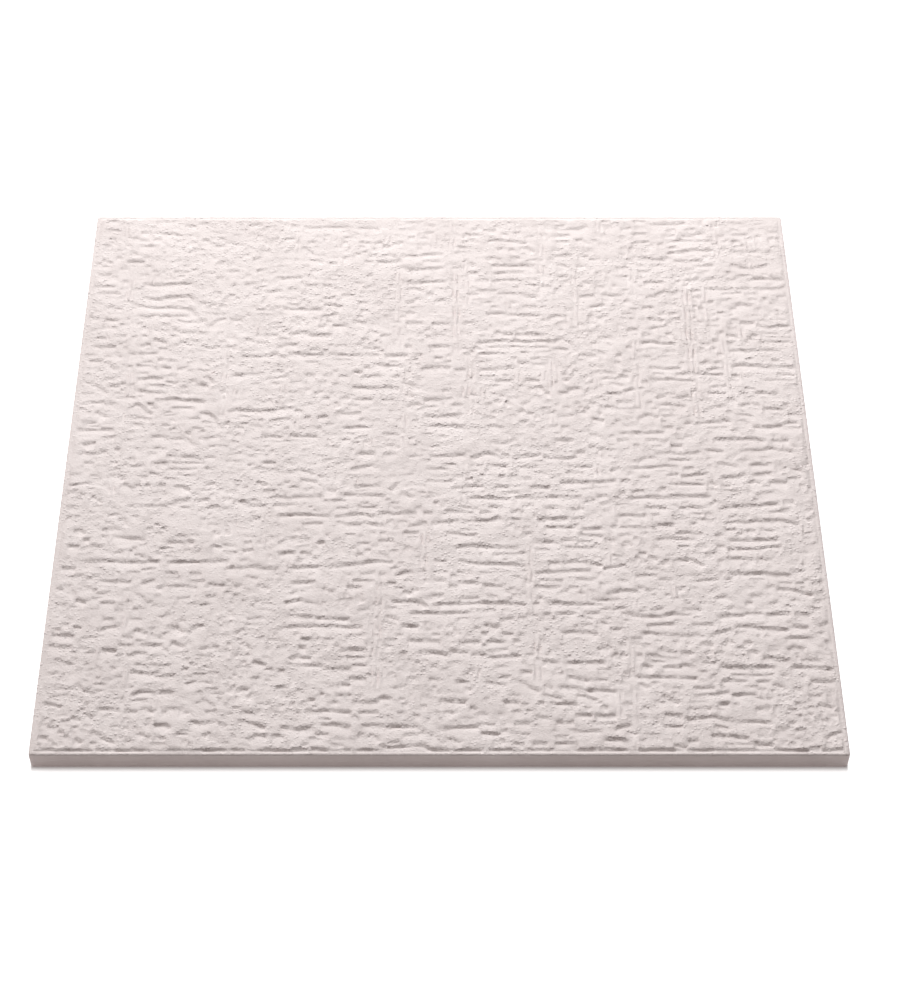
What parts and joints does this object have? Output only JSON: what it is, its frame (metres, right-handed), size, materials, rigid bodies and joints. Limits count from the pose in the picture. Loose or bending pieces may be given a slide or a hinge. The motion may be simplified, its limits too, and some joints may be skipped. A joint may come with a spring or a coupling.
{
  "type": "decorative ceiling tile",
  "caption": "Square foam ceiling tile with a rough stucco relief on its face, a plain narrow rim, butt edges with an undercut and a flat back for glueing.",
  "frame": {"origin": "centre of the flat back face, which lies on the floor at z = 0", "axes": "+Z out of the decorated face, +X along the front edge to the right as the picture shows the tile, +Y away from the viewer"},
  "size_m": [0.5, 0.5, 0.013],
  "materials": {
    "polystyrene_foam": "matt white pressed foam with a fine grain"
  },
  "bodies": {
    "root": {"ceiling_tile": "polystyrene_foam"}
  },
  "joints": []
}
